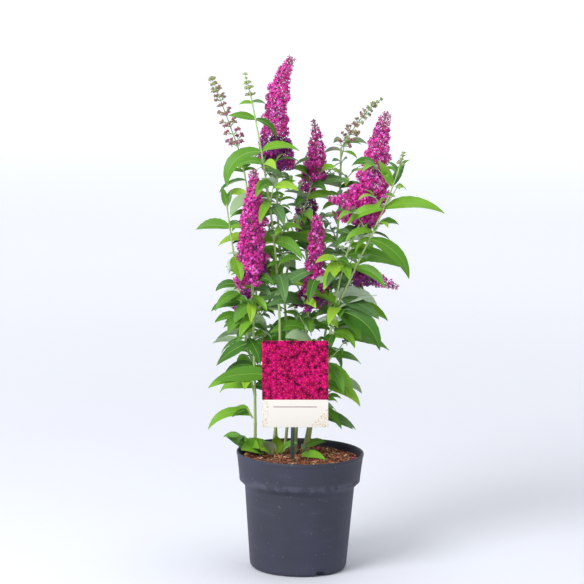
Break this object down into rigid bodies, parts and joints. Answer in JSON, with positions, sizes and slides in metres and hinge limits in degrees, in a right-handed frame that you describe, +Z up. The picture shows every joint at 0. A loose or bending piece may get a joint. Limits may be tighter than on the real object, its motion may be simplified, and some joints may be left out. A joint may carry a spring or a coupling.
{
  "type": "potted butterfly bush",
  "caption": "Butterfly bush in a round nursery pot: several slender upright leafy stems with magenta flower panicles and bud spikes, and a plant label on a stick.",
  "frame": {"origin": "centre of the pot's flat underside", "axes": "+Z up; -Y towards the front, where the label faces; +X to the right seen from the front"},
  "size_m": [0.3942, 0.2997, 0.847],
  "materials": {
    "pot_plastic": "matte dark blue-grey moulded plastic with light scuffs",
    "potting_mix": "reddish-brown coir and bark fibre",
    "label_card": "printed semi-gloss plastic card, magenta over off-white",
    "label_stick": "dark green-grey plastic",
    "stem": "young light green stem, slightly ridged",
    "leaf": "green above, pale grey-green beneath",
    "blossom": "magenta florets, darker purple in the shade"
  },
  "bodies": {
    "root": {"bloom_back": "blossom", "bloom_back_left": "blossom", "bloom_back_left_low": "blossom", "bloom_back_right": "blossom", "bloom_bough_centre": "blossom", "bloom_centre": "blossom", "bloom_left": "blossom", "bloom_low_right": "blossom", "bloom_tall": "blossom", "bloom_upper": "blossom", "bough_back_left": "stem", "bough_back_right": "stem", "bough_centre": "stem", "bough_left_outer": "stem", "bough_left_spike": "stem", "bough_low_right": "stem", "bough_right": "stem", "bough_upper": "stem", "label_card": "label_card", "label_stick": "label_stick", "leaves_back": "leaf", "leaves_back_bough_left": "leaf", "leaves_back_bough_right": "leaf", "leaves_back_left": "leaf", "leaves_back_right": "leaf", "leaves_bough_centre": "leaf", "leaves_centre": "leaf", "leaves_foot_left": "leaf", "leaves_foot_right": "leaf", "leaves_fork": "leaf", "leaves_left": "leaf", "leaves_left_outer": "leaf", "leaves_left_spike": "leaf", "leaves_low_back": "leaf", "leaves_low_back_right": "leaf", "leaves_low_left": "leaf", "leaves_low_left_back": "leaf", "leaves_low_left_upper": "leaf", "leaves_low_right": "leaf", "leaves_low_right_bright": "leaf", "leaves_low_right_middle": "leaf", "leaves_low_right_upper": "leaf", "leaves_low_tall": "leaf", "leaves_mid": "leaf", "leaves_right": "leaf", "leaves_tall": "leaf", "leaves_upper": "leaf", "pot": "pot_plastic", "potting_mix": "potting_mix", "stem_back": "stem", "stem_back_left": "stem", "stem_back_right": "stem", "stem_centre": "stem", "stem_left": "stem", "stem_mid": "stem", "stem_right": "stem", "stem_tall": "stem"}
  },
  "joints": []
}
